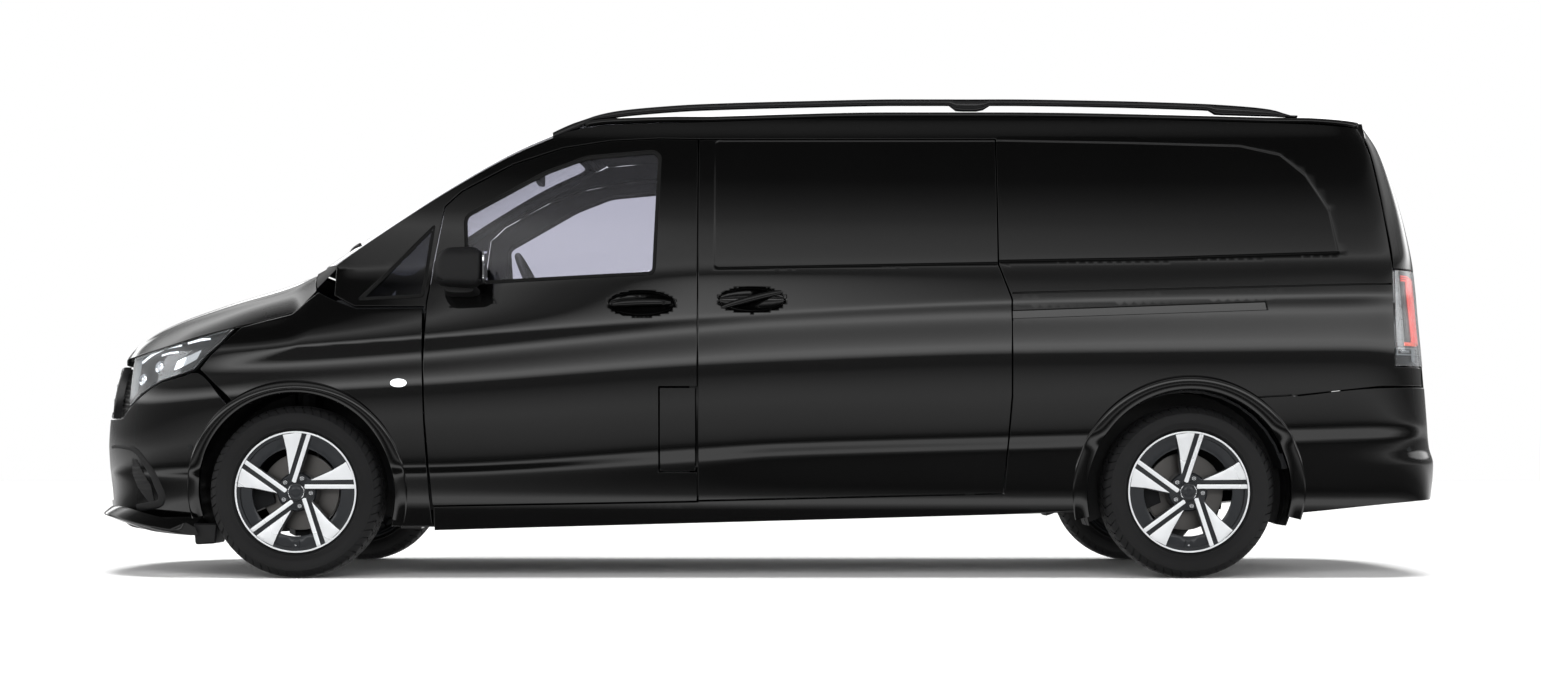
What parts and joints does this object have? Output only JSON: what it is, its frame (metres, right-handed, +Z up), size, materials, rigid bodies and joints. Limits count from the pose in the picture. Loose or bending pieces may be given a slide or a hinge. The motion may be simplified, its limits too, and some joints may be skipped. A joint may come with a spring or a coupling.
{
  "type": "long-wheelbase panel van",
  "caption": "Long panel van with hinged front doors, bonnet, tailgate and fuel flap, steered front wheels, free-turning wheels and a hollow cab and load space.",
  "frame": {"origin": "on the ground under the middle of the van's length and width", "axes": "+X forward, +Y to the van's left, +Z up"},
  "size_m": [5.3689, 2.24, 1.9098],
  "materials": {
    "body_side_left": "gloss black clear coat",
    "body_side_right": "gloss black clear coat",
    "bonnet": "gloss black clear coat",
    "bulkhead": "dark primer",
    "dashboard": "grained black plastic",
    "door_glass_left": "clear glass",
    "door_glass_right": "clear glass",
    "driver_seat": "dark woven cloth",
    "engine_block": "dark cast metal",
    "floor": "dark primer",
    "front_bumper": "gloss black clear coat",
    "front_door_left": "gloss black clear coat",
    "front_door_right": "gloss black clear coat",
    "front_suspension": "dark cast metal",
    "front_wing_left": "gloss black clear coat",
    "front_wing_right": "gloss black clear coat",
    "fuel_flap": "gloss black clear coat",
    "grille": "grained black plastic",
    "headlamp_left": "clear lens over a bright housing",
    "headlamp_right": "clear lens over a bright housing",
    "knuckle_front_left": "dark cast metal",
    "knuckle_front_right": "dark cast metal",
    "lower_grille": "grained black plastic",
    "mirror_left": "grained black plastic",
    "mirror_right": "grained black plastic",
    "passenger_seat": "dark woven cloth",
    "quarter_glass_left": "clear glass",
    "quarter_glass_right": "clear glass",
    "rear_axle": "dark cast metal",
    "rear_bumper": "gloss black clear coat",
    "rim_front_left": "machined and painted alloy",
    "rim_front_right": "machined and painted alloy",
    "rim_rear_left": "machined and painted alloy",
    "rim_rear_right": "machined and painted alloy",
    "roof": "gloss black clear coat",
    "roof_rail_left": "grained black plastic",
    "roof_rail_right": "grained black plastic",
    "sliding_door_left": "gloss black clear coat",
    "sliding_door_right": "gloss black clear coat",
    "steering_wheel": "grained black plastic",
    "tail_lamp_left": "red lens",
    "tail_lamp_right": "red lens",
    "tailgate": "gloss black clear coat",
    "tailgate_glass": "clear glass",
    "tyre_front_left": "black rubber",
    "tyre_front_right": "black rubber",
    "tyre_rear_left": "black rubber",
    "tyre_rear_right": "black rubber",
    "windscreen": "clear glass"
  },
  "bodies": {
    "body": {"floor": "floor", "roof": "roof", "windscreen": "windscreen", "front_bumper": "front_bumper", "grille": "grille", "lower_grille": "lower_grille", "rear_bumper": "rear_bumper", "bulkhead": "bulkhead", "dashboard": "dashboard", "engine_block": "engine_block", "front_suspension": "front_suspension", "rear_axle": "rear_axle", "driver_seat": "driver_seat", "passenger_seat": "passenger_seat", "body_side_left": "body_side_left", "body_side_right": "body_side_right", "sliding_door_left": "sliding_door_left", "sliding_door_right": "sliding_door_right", "front_wing_left": "front_wing_left", "front_wing_right": "front_wing_right", "headlamp_left": "headlamp_left", "headlamp_right": "headlamp_right", "tail_lamp_left": "tail_lamp_left", "tail_lamp_right": "tail_lamp_right", "roof_rail_left": "roof_rail_left", "roof_rail_right": "roof_rail_right", "quarter_glass_left": "quarter_glass_left", "quarter_glass_right": "quarter_glass_right"},
    "bonnet": {"bonnet": "bonnet"},
    "tailgate": {"tailgate": "tailgate", "tailgate_glass": "tailgate_glass"},
    "fuel_flap": {"fuel_flap": "fuel_flap"},
    "steering_wheel": {"steering_wheel": "steering_wheel"},
    "front_door_left": {"front_door_left": "front_door_left", "door_glass_left": "door_glass_left", "mirror_left": "mirror_left"},
    "knuckle_front_left": {"knuckle_front_left": "knuckle_front_left"},
    "front_door_right": {"front_door_right": "front_door_right", "door_glass_right": "door_glass_right", "mirror_right": "mirror_right"},
    "knuckle_front_right": {"knuckle_front_right": "knuckle_front_right"},
    "wheel_front_left": {"rim_front_left": "rim_front_left", "tyre_front_left": "tyre_front_left"},
    "wheel_front_right": {"rim_front_right": "rim_front_right", "tyre_front_right": "tyre_front_right"},
    "wheel_rear_left": {"rim_rear_left": "rim_rear_left", "tyre_rear_left": "tyre_rear_left"},
    "wheel_rear_right": {"rim_rear_right": "rim_rear_right", "tyre_rear_right": "tyre_rear_right"}
  },
  "joints": [
    {"name": "front_door_left_hinge", "type": "hinge", "parent": "body", "child": "front_door_left", "pos_m": [1.238, 0.938, 0.715], "axis": [0, 0, -1], "range_deg": [0, 65]},
    {"name": "front_door_right_hinge", "type": "hinge", "parent": "body", "child": "front_door_right", "pos_m": [1.238, -0.938, 0.715], "axis": [0, 0, 1], "range_deg": [0, 65]},
    {"name": "bonnet_hinge", "type": "hinge", "parent": "body", "child": "bonnet", "pos_m": [1.8, 0, 1.086], "axis": [0, -1, 0], "range_deg": [0, 50]},
    {"name": "tailgate_hinge", "type": "hinge", "parent": "body", "child": "tailgate", "pos_m": [-2.372, 0, 1.845], "axis": [0, 1, 0], "range_deg": [0, 85]},
    {"name": "fuel_flap_hinge", "type": "hinge", "parent": "body", "child": "fuel_flap", "pos_m": [0.262, 0.947, 0.57], "axis": [0, 0, 1], "range_deg": [0, 95]},
    {"name": "steer_left", "type": "hinge", "parent": "body", "child": "knuckle_front_left", "pos_m": [1.79, 0.745, 0.332], "axis": [0, 0, 1], "range_deg": [-35, 35]},
    {"name": "steer_right", "type": "hinge", "parent": "body", "child": "knuckle_front_right", "pos_m": [1.79, -0.745, 0.332], "axis": [0, 0, 1], "range_deg": [-35, 35]},
    {"name": "steering_wheel_turn", "type": "hinge", "parent": "body", "child": "steering_wheel", "pos_m": [0.905, 0.4, 1.11], "axis": [-0.8988, 0, 0.4384], "range_deg": [-525, 525]},
    {"name": "wheel_front_left_spin", "type": "hinge", "parent": "knuckle_front_left", "child": "wheel_front_left", "pos_m": [1.79, 0.833, 0.332], "axis": [0, 1, 0], "continuous": true},
    {"name": "wheel_front_right_spin", "type": "hinge", "parent": "knuckle_front_right", "child": "wheel_front_right", "pos_m": [1.79, -0.833, 0.332], "axis": [0, 1, 0], "continuous": true},
    {"name": "wheel_rear_left_spin", "type": "hinge", "parent": "body", "child": "wheel_rear_left", "pos_m": [-1.64, 0.823, 0.332], "axis": [0, 1, 0], "continuous": true},
    {"name": "wheel_rear_right_spin", "type": "hinge", "parent": "body", "child": "wheel_rear_right", "pos_m": [-1.64, -0.823, 0.332], "axis": [0, 1, 0], "continuous": true}
  ],
  "couplings": [
    {"joint": "steer_right", "follows": "steer_left", "ratio": 1},
    {"joint": "steering_wheel_turn", "follows": "steer_left", "ratio": 15}
  ]
}
